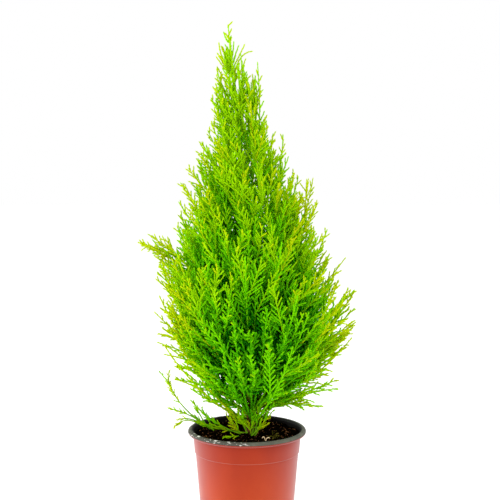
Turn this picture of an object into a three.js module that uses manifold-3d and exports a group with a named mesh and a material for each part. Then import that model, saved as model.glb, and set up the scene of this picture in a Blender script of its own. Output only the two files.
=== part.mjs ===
// A young golden cypress in a round nursery pot: pot, potting soil, one leaning trunk,
// ascending boughs and a plume of foliage on each bough.
// Millimetres, +Z up. The origin is the centre of the pot's flat underside, and -Y is the front.
import * as THREE from "three";
import { mergeVertices } from "three/addons/utils/BufferGeometryUtils.js";
import Module from "manifold-3d";

const wasm = await Module();
wasm.setup();

// Clearance left between two pieces that touch on the real plant
const gap = 0.3;

// A thin-walled 13 cm pot with a stacking step in its wall and a rolled lip
const pot = {
  sides: 32,
  height: 118,
  baseRadius: 49,
  baseChamfer: 1,
  wallTopRadius: 59.3,
  wallTopHeight: 111.5,
  wall: 1.2,
  floor: 2,
  stepHeight: 92,
  stepDepth: 0.9,
  lipRadius: 62,
  lipHalfWidth: 3,
  lipHalfHeight: 2.9,
  lipPoints: 8,
  drainHoles: 8,
  drainRadius: 4,
  drainCircle: 37,
};

// Potting soil, level with a line just under the lip
const soil = { level: 111 };

// Trunk: it leans to the left in its upper half, and ends where the leading shoot takes over
const trunk = {
  sides: 8,
  steps: 12,
  footX: 5,
  lean: -25,
  leanFrom: 0.42,
  leanTo: 1.02,
  sway: 3,
  footRadius: 4.6,
  endRadius: 0.9,
  flare: 0.7,
  flareHeight: 0.02,
  end: 0.77,
};

// Crown: heights are shares of the way from the soil to the tip, and the outline gives its radius at them
const crown = {
  height: 451,
  widest: 106,
  outline: [
    [0, 12],
    [0.059, 34],
    [0.088, 53],
    [0.119, 65],
    [0.177, 82],
    [0.25, 101],
    [0.31, 106],
    [0.412, 99],
    [0.469, 92],
    [0.571, 72],
    [0.644, 57],
    [0.702, 47],
    [0.815, 28],
    [0.93, 13],
    [1, 0],
  ],
  lowestTip: 0.1,
  highestTip: 0.94,
  crowding: 0.5,
};

// Boughs that follow the golden angle up the trunk
const boughRule = {
  count: 20,
  firstAngle: 205,
  goldenAngle: 137.508,
  angleJitter: 16,
  reachJitter: 0.16,
  lowSpread: 66,
  spreadLoss: 54,
  outBend: 0.54,
  upBend: 0.44,
};

// Boughs that stand out of the crown: direction in degrees from +X, foot and tip as heights, reach in mm
const strayBoughs = [
  { name: "second_leader", angle: 8, foot: 0.66, tip: 0.9, reach: 29 },
  { name: "right_spire", angle: -12, foot: 0.36, tip: 0.628, reach: 74 },
  { name: "left_arm", angle: 176, foot: 0.3, tip: 0.458, reach: 110 },
  { name: "right_arm", angle: -8, foot: 0.13, tip: 0.36, reach: 107 },
  { name: "low_left", angle: 188, foot: 0.02, tip: 0.14, reach: 90 },
  { name: "low_right", angle: -4, foot: 0.05, tip: 0.122, reach: 92 },
  { name: "foot_right", angle: -35, foot: 0.012, tip: 0.085, reach: 30 },
  { name: "foot_left", angle: 248, foot: 0.02, tip: 0.06, reach: 46 },
];

// Limbs of the boughs and the stems of the plumes
const limb = {
  sides: 4,
  steps: 3,
  footRadius: 1.9,
  tipRadius: 0.6,
  baredShare: 0.24,
};

// Sprays: a slim tapering core with a needle drawn out of each of its faces
const mainSpray = {
  sides: 4,
  ringPitch: 14.5,
  rootRadius: 3.6,
  tipRadius: 1.6,
  needleLength: 38,
  needleSpread: 40,
  pointLength: 10,
};
const twigSpray = {
  sides: 3,
  ringPitch: 13.5,
  rootRadius: 2.4,
  tipRadius: 1.2,
  needleLength: 30,
  needleSpread: 40,
  pointLength: 9,
};
const needle = {
  longest: 0.55,
  longestPoint: 0.3,
  lift: 0.12,
  tipLoss: 0.75,
  lengthJitter: 0.5,
  shrink: 0.82,
  shortest: 2.5,
};

// Twigs that branch from the stem of a plume by the golden angle
const twig = {
  count: 6,
  first: 0.03,
  last: 0.72,
  spread: 46,
  rise: 0.2,
  lengthShare: 0.75,
  tipLoss: 0.4,
  leftShare: 1.05,
  shrinkSteps: [1, 0.85, 0.7, 0.55, 0.4],
  shortest: 12,
};
const clearance = { betweenPlumes: 1.7, fromLimbs: 0.8, aboveGround: 2, pastTip: 8 };

const finishes = {
  terracotta: new THREE.MeshStandardMaterial({ color: 0xc2522e, roughness: 0.45, metalness: 0 }),
  earth: new THREE.MeshStandardMaterial({ color: 0x1c120c, roughness: 0.95, metalness: 0 }),
  bark: new THREE.MeshStandardMaterial({ color: 0x7a5233, roughness: 0.85, metalness: 0 }),
  foliage: new THREE.MeshStandardMaterial({ color: 0x76b80e, roughness: 0.7, metalness: 0 }),
};

const up = new THREE.Vector3(0, 0, 1);
const radians = THREE.MathUtils.degToRad;
const lerp = THREE.MathUtils.lerp;

// A repeatable number from 0 to 1 for an index and a use
function scatter(index, use) {
  const wave = Math.sin(index * 127.1 + use * 311.7) * 43758.5453;
  return wave - Math.floor(wave);
}

function solidOf(geometry) {
  const bare = geometry.clone();
  bare.deleteAttribute("normal");
  bare.deleteAttribute("uv");
  const merged = mergeVertices(bare, 1e-4);
  return new wasm.Manifold(
    new wasm.Mesh({
      numProp: 3,
      vertProperties: merged.attributes.position.array,
      triVerts: new Uint32Array(merged.index.array),
    }),
  );
}

function geometryOf(solid) {
  const mesh = solid.getMesh();
  const geometry = new THREE.BufferGeometry();
  geometry.setAttribute("position", new THREE.BufferAttribute(mesh.vertProperties, 3));
  geometry.setIndex(new THREE.BufferAttribute(mesh.triVerts, 1));
  geometry.computeVertexNormals();
  return geometry;
}

// Joins solids into one body, without any scrap that the join leaves loose
function fuse(solids) {
  const bodies = solids.reduce((whole, next) => whole.add(next)).decompose();
  return bodies.reduce((best, body) => (body.volume() > best.volume() ? body : best));
}

// Pot and soil

function potWallRadius(height) {
  const share = height / pot.wallTopHeight;
  const step = height < pot.stepHeight ? pot.stepDepth : 0;
  return lerp(pot.baseRadius + pot.stepDepth, pot.wallTopRadius, share) - step;
}

function lipPoint(share) {
  const angle = radians(lerp(-115, 200, share));
  const centre = pot.height - pot.lipHalfHeight;
  return new THREE.Vector2(
    pot.lipRadius + pot.lipHalfWidth * Math.cos(angle),
    centre + pot.lipHalfHeight * Math.sin(angle),
  );
}

function turned(profile) {
  return new THREE.LatheGeometry(profile, pot.sides).rotateX(Math.PI / 2);
}

function potSolid() {
  const point = (radius, height) => new THREE.Vector2(radius, height);
  const stepTop = pot.stepHeight + pot.stepDepth;
  const insideStep = pot.stepHeight + pot.wall;
  const lip = Array.from({ length: pot.lipPoints }, (_, i) => lipPoint(i / (pot.lipPoints - 1)));
  const profile = [
    point(0, 0),
    point(pot.baseRadius - pot.baseChamfer, 0),
    point(potWallRadius(pot.baseChamfer), pot.baseChamfer),
    point(potWallRadius(pot.stepHeight - 0.01), pot.stepHeight),
    point(potWallRadius(stepTop), stepTop),
    point(potWallRadius(pot.wallTopHeight), pot.wallTopHeight),
    ...lip,
    point(potWallRadius(pot.wallTopHeight) - pot.wall, pot.wallTopHeight),
    point(potWallRadius(stepTop) - pot.wall, insideStep + pot.stepDepth),
    point(potWallRadius(pot.stepHeight - 0.01) - pot.wall, insideStep),
    point(potWallRadius(pot.floor) - pot.wall, pot.floor),
    point(0, pot.floor),
  ];
  let body = solidOf(turned(profile));
  for (let i = 0; i < pot.drainHoles; i++) {
    const angle = (2 * Math.PI * (i + 0.5)) / pot.drainHoles;
    const hole = new THREE.CylinderGeometry(pot.drainRadius, pot.drainRadius, 4 * pot.floor, 8)
      .rotateX(Math.PI / 2)
      .translate(pot.drainCircle * Math.cos(angle), pot.drainCircle * Math.sin(angle), 0);
    body = body.subtract(solidOf(hole));
  }
  return body;
}

function soilSolid() {
  const bottom = pot.floor + gap;
  const inside = (height) => potWallRadius(height) - pot.wall - gap;
  const profile = [
    new THREE.Vector2(0, bottom),
    new THREE.Vector2(inside(bottom), bottom),
    new THREE.Vector2(inside(pot.stepHeight - 1), pot.stepHeight - 1),
    new THREE.Vector2(inside(pot.stepHeight - 1), pot.stepHeight + pot.wall + pot.stepDepth),
    new THREE.Vector2(inside(soil.level) - 0.4, soil.level),
    new THREE.Vector2(0, soil.level),
  ];
  return solidOf(turned(profile));
}

// Limbs

// Two unit vectors across a curve at a share of it, the first as near as can be to a given side
function acrossCurve(curve, side, share) {
  const tangent = curve.getTangent(share);
  const first = side.clone().addScaledVector(tangent, -side.dot(tangent)).normalize();
  return { tangent, first, second: tangent.clone().cross(first) };
}

// A tapering limb with flat ends along a curve, from one share of its length to another
function limbSolid({ curve, side }, radiusAt, from, to, sides, steps) {
  const rod = new THREE.CylinderGeometry(1, 1, 1, sides, steps);
  const place = rod.attributes.position;
  for (let i = 0; i < place.count; i++) {
    const share = lerp(from, to, place.getY(i) + 0.5);
    const radius = radiusAt(share);
    const { first, second } = acrossCurve(curve, side, share);
    const corner = curve.getPoint(share);
    corner.addScaledVector(first, place.getX(i) * radius);
    corner.addScaledVector(second, -place.getZ(i) * radius);
    place.setXYZ(i, corner.x, corner.y, corner.z);
  }
  return solidOf(rod);
}

function trunkPoint(height) {
  const { footX, lean, leanFrom, leanTo, sway } = trunk;
  const x = footX + lean * THREE.MathUtils.smoothstep(height, leanFrom, leanTo);
  const y = sway * Math.sin(5 * height);
  return new THREE.Vector3(x, y, soil.level + gap + height * crown.height);
}

function trunkRadius(height) {
  const taper = lerp(trunk.footRadius, trunk.endRadius, height / trunk.end);
  return taper * (1 + trunk.flare * Math.exp(-height / trunk.flareHeight));
}

class TrunkCurve extends THREE.Curve {
  getPoint(share, target = new THREE.Vector3()) {
    return target.copy(trunkPoint(share));
  }
}

const trunkLimb = { curve: new TrunkCurve(), side: new THREE.Vector3(0, 1, 0) };

function trunkSolid(growth) {
  const radiusAt = (height) => trunkRadius(height) + growth;
  return limbSolid(trunkLimb, radiusAt, 0, trunk.end, trunk.sides, trunk.steps);
}

// Crown radius by height, on straight lines between the places of the outline
function crownRadius(height) {
  const next = Math.max(1, crown.outline.findIndex(([place]) => place >= height));
  const [low, lowRadius] = crown.outline[next - 1];
  const [high, highRadius] = crown.outline[next];
  return lerp(lowRadius, highRadius, (height - low) / (high - low));
}

// The height below which a share of the boughs end, which lie closer where the crown is narrow
function heightOfShare(share) {
  const slices = 200;
  const heights = Array.from({ length: slices }, (_, i) =>
    lerp(crown.lowestTip, crown.highestTip, (i + 0.5) / slices),
  );
  const weight = (height) => crownRadius(height) ** crown.crowding;
  const whole = heights.reduce((sum, height) => sum + weight(height), 0);
  let below = 0;
  for (const height of heights) {
    below += weight(height);
    if (below >= share * whole) return height;
  }
  return crown.highestTip;
}

function outward(angle) {
  return new THREE.Vector3(Math.cos(radians(angle)), Math.sin(radians(angle)), 0);
}

function boughCurve({ angle, foot, tip, reach }) {
  const start = trunkPoint(foot);
  const out = outward(angle);
  const end = trunkPoint(tip).addScaledVector(out, reach);
  const bend = start.clone().addScaledVector(out, boughRule.outBend * reach);
  bend.z += boughRule.upBend * (end.z - start.z);
  return new THREE.QuadraticBezierCurve3(start, bend, end);
}

function ruledBough(index) {
  const { count, firstAngle, goldenAngle, angleJitter, reachJitter, lowSpread, spreadLoss } = boughRule;
  const tip = heightOfShare((index + 0.5) / count);
  const reach = crownRadius(tip) * (1 + reachJitter * (scatter(index, 1) - 0.5));
  const spread = radians(lowSpread - spreadLoss * tip);
  const rise = reach / Math.tan(spread) / crown.height;
  return {
    name: String(index + 1).padStart(2, "0"),
    angle: firstAngle + index * goldenAngle + angleJitter * (scatter(index, 2) - 0.5),
    foot: THREE.MathUtils.clamp(tip - rise, 0.015, trunk.end - 0.06),
    tip,
    reach,
  };
}

const boughs = [
  ...Array.from({ length: boughRule.count }, (_, index) => ruledBough(index)),
  ...strayBoughs,
].map((bough, index) => ({ ...bough, index, curve: boughCurve(bough), side: outward(bough.angle + 90) }));

// The leading shoot grows straight on from the end of the trunk
const leader = {
  name: "leader",
  index: boughs.length,
  reach: 20,
  side: trunkLimb.side,
  curve: new THREE.QuadraticBezierCurve3(
    trunkPoint(trunk.end),
    trunkPoint((trunk.end + 1) / 2),
    trunkPoint(1),
  ),
};
const plumes = [...boughs, leader];

// The bare limb runs to this share of a bough, and the plume's stem goes on from there
function bareEnd(bough) {
  return bough === leader ? 0 : limb.baredShare;
}

function limbRadius(bough, share) {
  if (bough === leader) return lerp(trunk.endRadius, limb.tipRadius, share);
  const thick = limb.footRadius * Math.sqrt(bough.reach / crown.widest);
  return lerp(Math.max(thick, 1.1), limb.tipRadius, share);
}

function boughSolid(bough, grownTrunk) {
  const radiusAt = (share) => limbRadius(bough, share);
  const whole = limbSolid(bough, radiusAt, 0, bareEnd(bough), limb.sides, limb.steps);
  return fuse([whole.subtract(grownTrunk)]);
}

// Room for foliage

const lineSteps = 14;
const plumeLines = plumes.map((plume) => plume.curve.getPoints(lineSteps));
const trunkLine = trunkLimb.curve.getPoints(40);

function distanceToLine(point, line) {
  const segment = new THREE.Line3();
  const nearest = new THREE.Vector3();
  let best = Infinity;
  for (let i = 1; i < line.length; i++) {
    segment.set(line[i - 1], line[i]);
    best = Math.min(best, point.distanceTo(segment.closestPointToPoint(point, true, nearest)));
  }
  return best;
}

// True where a ball lies in a plume's own room: nearer its line than any other, no further out than
// its bough's tip, and clear of limbs, soil and pot
function inOwnRoom(point, plume, radius = 0) {
  const own = distanceToLine(point, plumeLines[plume.index]);
  const others = plumeLines.filter((_, index) => index !== plume.index);
  const least = clearance.betweenPlumes + 2 * radius;
  if (others.some((line) => distanceToLine(point, line) - own < least)) return false;
  const height = THREE.MathUtils.clamp((point.z - soil.level - gap) / crown.height, 0, 1);
  const axis = trunkPoint(height);
  const reach = Math.hypot(point.x - axis.x, point.y - axis.y);
  if (height === 1 || reach > plume.reach + clearance.pastTip) return false;
  const trunkRoom = trunkRadius(Math.min(trunk.end, height)) + clearance.fromLimbs + radius;
  if (plume !== leader && distanceToLine(point, trunkLine) < trunkRoom) return false;
  const isOverSoil = Math.hypot(point.x, point.y) < pot.lipRadius - 2 * pot.lipHalfWidth - radius;
  const ground = isOverSoil ? soil.level : pot.height;
  return point.z > ground + clearance.aboveGround + radius;
}

// Foliage

// A direction turned through an angle towards a side
function turnedInPlane(direction, side, degrees) {
  const across = side.clone().addScaledVector(direction, -side.dot(direction)).normalize();
  return direction
    .clone()
    .multiplyScalar(Math.cos(radians(degrees)))
    .addScaledVector(across, Math.sin(radians(degrees)));
}

// The tip of a needle from its root, drawn in until the needle lies in the plume's own room
function needleTip(plume, root, heading, length) {
  const shares = [0.35, 0.7, 1];
  for (let reach = length; reach > needle.shortest; reach *= needle.shrink) {
    const points = shares.map((share) => root.clone().addScaledVector(heading, share * reach));
    if (points.every((point) => inOwnRoom(point, plume))) return points[2];
  }
  return root.clone();
}

// A spray along a curve, from a share of it to its end, as a rod whose faces are drawn out to points
function spraySolid(plume, { curve, side }, from, form, seed) {
  const { sides } = form;
  const pointLength = Math.min(form.pointLength, needle.longestPoint * curve.getLength());
  const to = 1 - pointLength / curve.getLength();
  const length = (to - from) * curve.getLength();
  const rings = Math.max(2, Math.round(length / form.ringPitch));
  const rod = new THREE.CylinderGeometry(1, 1, 1, sides, rings);
  const place = rod.attributes.position;
  const corners = [];
  for (let i = 0; i < place.count; i++) {
    const level = place.getY(i) + 0.5;
    const share = lerp(from, to, level);
    const radius = lerp(form.rootRadius, form.tipRadius, level);
    const { tangent, first, second } = acrossCurve(curve, side, share);
    const corner = curve.getPoint(share);
    corner.addScaledVector(first, place.getX(i) * radius);
    corner.addScaledVector(second, -place.getZ(i) * radius);
    const isTipCentre = level === 1 && place.getX(i) === 0 && place.getZ(i) === 0;
    if (isTipCentre) corner.addScaledVector(tangent, pointLength);
    corners.push(corner);
  }
  const rodIndex = Array.from(rod.index.array);
  const faceCorners = 6 * sides * rings;
  const triangles = rodIndex.slice(faceCorners);
  for (let i = 0; i < faceCorners; i += 6) {
    const [a, b, d, , c] = rodIndex.slice(i, i + 6);
    const root = new THREE.Vector3();
    for (const corner of [a, b, c, d]) root.addScaledVector(corners[corner], 0.25);
    const level = (place.getY(a) + place.getY(b)) / 2 + 0.5;
    const share = lerp(from, to, level);
    const tangent = curve.getTangent(share);
    const away = root.clone().sub(curve.getPoint(share));
    const heading = turnedInPlane(tangent, away, form.needleSpread);
    heading.addScaledVector(up, needle.lift).normalize();
    const uneven = 1 + needle.lengthJitter * (scatter(seed + i, 4) - 0.5);
    const longest = Math.min(form.needleLength, needle.longest * length);
    const reach = longest * uneven * (1 - needle.tipLoss * level ** 2);
    const tip = corners.push(needleTip(plume, root, heading, reach)) - 1;
    triangles.push(a, b, tip, b, c, tip, c, d, tip, d, a, tip);
  }
  const geometry = new THREE.BufferGeometry().setFromPoints(corners);
  geometry.setIndex(triangles);
  return solidOf(geometry);
}

// A twig that leaves the stem at a share of it and bends up, or nothing where it has no room
function twigSolid(plume, share, seed) {
  const { tangent, first, second } = acrossCurve(plume.curve, plume.side, share);
  const turn = radians(boughRule.goldenAngle * seed + 360 * scatter(plume.index, 3));
  const away = first.multiplyScalar(Math.cos(turn)).addScaledVector(second, Math.sin(turn));
  const heading = turnedInPlane(tangent, away, twig.spread);
  const whole = plume.curve.getLength();
  const byPlace = twig.lengthShare * whole * (1 - twig.tipLoss * share);
  const longest = Math.min(byPlace, twig.leftShare * whole * (1 - share));
  const start = plume.curve.getPoint(share);
  const end = heading.clone().addScaledVector(up, twig.rise).normalize();
  for (const shrink of twig.shrinkSteps) {
    const length = shrink * longest;
    if (length < twig.shortest) return null;
    const curve = new THREE.QuadraticBezierCurve3(
      start,
      start.clone().addScaledVector(heading, length / 2),
      start.clone().addScaledVector(end, length),
    );
    const tests = curve.getPoints(6).slice(2);
    if (!tests.every((point) => inOwnRoom(point, plume, twigSpray.rootRadius))) continue;
    const side = tangent.clone().cross(heading).normalize();
    return spraySolid(plume, { curve, side }, 0, twigSpray, 1000 * plume.index + 100 * seed);
  }
  return null;
}

function plumeSolid(plume, grownTrunk) {
  const start = bareEnd(plume) + gap / plume.curve.getLength();
  const pieces = [spraySolid(plume, plume, start, mainSpray, 1000 * plume.index)];
  for (let i = 0; i < twig.count; i++) {
    const share = lerp(start, 1, lerp(twig.first, twig.last, i / (twig.count - 1)));
    const made = twigSolid(plume, share, i + 1);
    if (made) pieces.push(made);
  }
  const body = fuse(pieces);
  return plume === leader ? body : fuse([body.subtract(grownTrunk)]);
}

// Assembly

const cypress = new THREE.Group();

function addNode(name, solid, finish) {
  const mesh = new THREE.Mesh(geometryOf(solid), finish);
  mesh.name = name;
  cypress.add(mesh);
}

addNode("pot", potSolid(), finishes.terracotta);
addNode("soil", soilSolid(), finishes.earth);
addNode("trunk", trunkSolid(0), finishes.bark);
const grownTrunk = trunkSolid(gap);
for (const bough of boughs) addNode(`bough_${bough.name}`, boughSolid(bough, grownTrunk), finishes.bark);
for (const plume of plumes) addNode(`foliage_${plume.name}`, plumeSolid(plume, grownTrunk), finishes.foliage);

export default cypress;
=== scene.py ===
import math

import bmesh
import bpy
import numpy as np
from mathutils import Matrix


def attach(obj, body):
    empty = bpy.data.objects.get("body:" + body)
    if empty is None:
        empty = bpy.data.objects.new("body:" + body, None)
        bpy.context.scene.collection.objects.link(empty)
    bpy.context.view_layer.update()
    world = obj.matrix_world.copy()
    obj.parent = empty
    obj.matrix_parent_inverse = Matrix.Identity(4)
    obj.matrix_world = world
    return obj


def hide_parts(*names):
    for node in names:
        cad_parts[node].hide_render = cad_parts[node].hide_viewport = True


# A young lime-green cypress in a round nursery pot. Lengths here are in millimetres and are
# turned into metres when a mesh is made. The frame's origin is the centre of the pot's underside.
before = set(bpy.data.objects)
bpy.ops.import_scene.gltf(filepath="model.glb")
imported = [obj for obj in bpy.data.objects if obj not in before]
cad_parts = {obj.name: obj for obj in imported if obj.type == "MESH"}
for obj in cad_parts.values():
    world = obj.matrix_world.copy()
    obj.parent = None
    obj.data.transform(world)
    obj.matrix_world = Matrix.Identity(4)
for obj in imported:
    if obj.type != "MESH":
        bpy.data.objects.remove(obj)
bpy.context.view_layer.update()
nodeNames = list(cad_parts)
up = np.array([0.0, 0.0, 1.0])
# a whole turn in radians, near enough for scattered phases
fullTurn = 6.28
print("frame loaded,", len(nodeNames), "nodes")


# Small helpers for meshes

def scatter(index, use):
    # a repeatable number from 0 to 1: the fraction left by a large sine of index and use
    wave = np.sin(np.asarray(index, float) * 127.1 + use * 311.7) * 43758.5453
    return wave - np.floor(wave)


def mix(a, b, share):
    # a where the share is 0, b where it is 1, in a straight line
    return a + (b - a) * share


def smoothStep(value, low, high):
    # 0 below low, 1 above high, and 3 s^2 - 2 s^3 between them
    share = np.clip((np.asarray(value, float) - low) / (high - low), 0, 1)
    return share * share * (3 - 2 * share)


def unit(vectors):
    # the same directions, each of length 1
    return vectors / np.linalg.norm(vectors, axis=-1, keepdims=True)


def squareTo(tangent, side):
    # two directions square to the tangent and to each other, the first of them towards the side
    first = unit(side - tangent * (side * tangent).sum(-1, keepdims=True))
    return first, np.cross(tangent, first)


def meshPiece(name, points, faces, smooth=True):
    # points (n, 3) in mm, faces (m, corners) of one size
    points = np.asarray(points, float).reshape(-1, 3) * 0.001
    faces = np.asarray(faces, np.int32)
    mesh = bpy.data.meshes.new(name)
    mesh.vertices.add(len(points))
    mesh.vertices.foreach_set("co", points.ravel())
    mesh.loops.add(faces.size)
    mesh.loops.foreach_set("vertex_index", faces.ravel())
    mesh.polygons.add(len(faces))
    mesh.polygons.foreach_set("loop_start", np.arange(0, faces.size, faces.shape[1], dtype=np.int32))
    mesh.polygons.foreach_set("use_smooth", np.full(len(faces), smooth))
    mesh.update(calc_edges=True)
    piece = bpy.data.objects.new(name, mesh)
    bpy.context.scene.collection.objects.link(piece)
    return piece


def gridFaces(rows, columns):
    # quads of a grid that closes on itself along its columns
    row, column = np.meshgrid(np.arange(rows - 1), np.arange(columns), indexing="ij")
    after = (column + 1) % columns
    quads = [row * columns + column, row * columns + after,
             (row + 1) * columns + after, (row + 1) * columns + column]
    return np.stack(quads, -1).reshape(-1, 4)


def turnedPiece(name, radii, heights, around):
    # a profile turned about Z: x = r cos a, y = r sin a; profiles start and end on the axis
    angle = np.linspace(0, 2 * np.pi, around, endpoint=False)
    radii = np.asarray(radii, float)[:, None]
    heights = np.asarray(heights, float)[:, None]
    points = np.stack([radii * np.cos(angle), radii * np.sin(angle), heights + 0 * angle], -1)
    piece = meshPiece(name, points, gridFaces(len(radii), around))
    mergeDoubles(piece)
    return piece


def mergeDoubles(piece, distance=1e-6):
    # the rings on the axis become single points, and each closed shell faces outwards
    body = bmesh.new()
    body.from_mesh(piece.data)
    bmesh.ops.remove_doubles(body, verts=body.verts, dist=distance)
    bmesh.ops.recalc_face_normals(body, faces=body.faces)
    body.to_mesh(piece.data)
    body.free()


# Small helpers for materials

def newMaterial(name, color, roughness, specular, more={}):
    # a finish of one colour; more holds further inputs of the shader with their values
    material = bpy.data.materials.new(name)
    material.use_nodes = True
    shader = material.node_tree.nodes["Principled BSDF"]
    shader.inputs["Base Color"].default_value = (*color, 1)
    shader.inputs["Roughness"].default_value = roughness
    shader.inputs["Specular IOR Level"].default_value = specular
    for label, value in more.items():
        shader.inputs[label].default_value = value
    return material, material.node_tree, shader


def linear(red, green, blue):
    # screen colours from 0 to 255 as linear light
    share = np.array([red, green, blue]) / 255
    return tuple(np.where(share < 0.04045, share / 12.92, ((share + 0.055) / 1.055) ** 2.4).tolist())


def addNode(tree, kind, inputs, **settings):
    # a shader node's outputs; each of its inputs takes a value or the output of another node
    node = tree.nodes.new("ShaderNode" + kind)
    for label, value in settings.items():
        setattr(node, label, value)
    for label, value in inputs.items():
        if isinstance(value, bpy.types.NodeSocket):
            tree.links.new(value, node.inputs[label])
        else:
            node.inputs[label].default_value = value
    return node.outputs


def objectNoise(tree, scale, detail=3, stretch=(1, 1, 1)):
    # noise over the object's own coordinates
    place = addNode(tree, "TexCoord", {})["Object"]
    stretched = addNode(tree, "Mapping", {"Vector": place, "Scale": stretch})["Vector"]
    return addNode(tree, "TexNoise", {"Vector": stretched, "Scale": scale, "Detail": detail})["Fac"]


def colorRamp(tree, factor, *stops):
    # each stop is a position and a screen colour
    ramp = tree.nodes.new("ShaderNodeValToRGB")
    elements = ramp.color_ramp.elements
    while len(elements) < len(stops):
        elements.new(0.5)
    for element, (position, color) in zip(elements, stops):
        element.position = position
        element.color = (*linear(*color), 1)
    tree.links.new(factor, ramp.inputs["Fac"])
    return ramp.outputs["Color"]


def shareBetween(tree, value, low, high):
    # 0 to 1 as the value goes from low to high
    return addNode(tree, "MapRange", {"Value": value, "From Min": low, "From Max": high})["Result"]


def alongAxis(tree, axis, low, high):
    # 0 to 1 as one object coordinate goes from low to high, in mm
    place = addNode(tree, "TexCoord", {})["Object"]
    parts = addNode(tree, "SeparateXYZ", {"Vector": place})
    return shareBetween(tree, parts[axis], low * 0.001, high * 0.001)


def awayFromAxis(tree, low, high):
    # 0 to 1 as the distance from the upright axis goes from low to high, in mm
    place = addNode(tree, "TexCoord", {})["Object"]
    level = addNode(tree, "VectorMath", {0: place, 1: (1, 1, 0)}, operation="MULTIPLY")["Vector"]
    size = addNode(tree, "VectorMath", {0: level}, operation="LENGTH")["Value"]
    return shareBetween(tree, size, low * 0.001, high * 0.001)


def blended(tree, factor, first, second):
    # the first colour where the factor is 0, the second where it is 1
    return addNode(tree, "Mix", {"Factor": factor, "A": first, "B": second}, data_type="RGBA")["Result"]


def paint(tree, shader, color):
    tree.links.new(color, shader.inputs["Base Color"])


def bumpFrom(tree, shader, height, strength, distance):
    inputs = {"Height": height, "Strength": strength, "Distance": distance}
    tree.links.new(addNode(tree, "Bump", inputs)["Normal"], shader.inputs["Normal"])


def grainyMaterial(name, color, roughness, specular, grain, *stops, bump=None):
    # a finish whose colour follows one noise, and its bump if it has one; grain is the noise's scale and
    # detail, bump its strength and distance
    material, tree, shader = newMaterial(name, linear(*color), roughness, specular)
    noise = objectNoise(tree, *grain)
    paint(tree, shader, colorRamp(tree, noise, *stops))
    if bump:
        bumpFrom(tree, shader, noise, *bump)
    return material


# Camera, floor and light

view = {"lens": 100.8, "sensor": 36, "place": (3.3, -1507, 501.5), "pitchDown": 7.03, "farClip": 20000}

camera = bpy.data.cameras.new("camera")
camera.lens = view["lens"]
camera.sensor_width = view["sensor"]
camera.clip_end = view["farClip"] * 0.001
cameraObject = bpy.data.objects.new("camera", camera)
cameraObject.location = np.array(view["place"]) * 0.001
cameraObject.rotation_euler = (math.radians(90 - view["pitchDown"]), 0, 0)
bpy.context.scene.collection.objects.link(cameraObject)
bpy.context.scene.camera = cameraObject
bpy.context.scene.view_settings.view_transform = "Standard"

studio = {
    "sky": 1.0,
    "floorSize": 8000,
    "floorGrey": 0.92,
    "floorGlow": 0.1,
    "aimHeight": 300,
    "lamps": [
        {"name": "sideLeft", "place": (-1400, 350, 400), "size": 900, "power": 16},
        {"name": "sideRight", "place": (1400, 350, 900), "size": 900, "power": 11},
        {"name": "front", "place": (-700, -1500, 1200), "size": 900, "power": 12},
    ],
}

world = bpy.data.worlds.new("studio")
world.use_nodes = True
world.node_tree.nodes["Background"].inputs["Color"].default_value = (1, 1, 1, 1)
world.node_tree.nodes["Background"].inputs["Strength"].default_value = studio["sky"]
bpy.context.scene.world = world

half = studio["floorSize"] / 2
floorCorners = [(-half, -half, 0), (half, -half, 0), (half, half, 0), (-half, half, 0)]
floor = meshPiece("floor", floorCorners, [(0, 1, 2, 3)])
floorGlow = {"Emission Color": (1, 1, 1, 1), "Emission Strength": studio["floorGlow"]}
floor.data.materials.append(newMaterial("floorPaper", (studio["floorGrey"],) * 3, 0.9, 0.2, floorGlow)[0])

for lamp in studio["lamps"]:
    light = bpy.data.lights.new(lamp["name"], "AREA")
    light.size = lamp["size"] * 0.001
    light.energy = lamp["power"]
    lightObject = bpy.data.objects.new(lamp["name"], light)
    place = np.array(lamp["place"]) * 0.001
    lightObject.location = place
    aim = np.array([0, 0, studio["aimHeight"] * 0.001]) - place
    tip = math.atan2(math.hypot(aim[0], aim[1]), -aim[2])
    lightObject.rotation_euler = (tip, 0, math.atan2(aim[1], aim[0]) - math.pi / 2)
    bpy.context.scene.collection.objects.link(lightObject)
print("camera, floor and light ready")


# Pot: a terracotta outer shell, and a dark liner that shows inside and in the rolled lip

pot = {
    "around": 144, "height": 118, "baseRadius": 49, "baseRound": 1.4, "baseRings": (0, 20, 40),
    "wallTopRadius": 59.3, "wallTopHeight": 111.5, "wallRings": (40, 10, 12), "wall": 1.2, "floor": 2,
    "shell": 0.6, "shellFloor": 1, "floorRing": 30, "linerGap": 0.05,
    "stepHeight": 92, "stepDepth": 0.9, "nearStep": (1, 0.6, 2.2), "lipRadius": 62, "lipHalfWidth": 3,
    "lipHalfHeight": 2.9, "lipFrom": -150, "lipTo": 195, "lipRings": 40, "roundRings": 6,
    "wrapFrom": -115, "wrapTo": -15, "wrapRings": 10, "wrapThick": 0.5,
    "drainHoles": 8, "drainRadius": 4, "drainCircle": 37, "drainCorners": 20, "drainFrom": -3, "drainTo": 6,
}


def potWallRadius(height):
    # straight taper from base to top, with the part under the step set in by stepDepth
    above = smoothStep(height, pot["stepHeight"], pot["stepHeight"] + pot["stepDepth"])
    share = np.asarray(height, float) / pot["wallTopHeight"]
    outer = mix(pot["baseRadius"] + pot["stepDepth"], pot["wallTopRadius"], share)
    return outer - pot["stepDepth"] * (1 - above)


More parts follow.
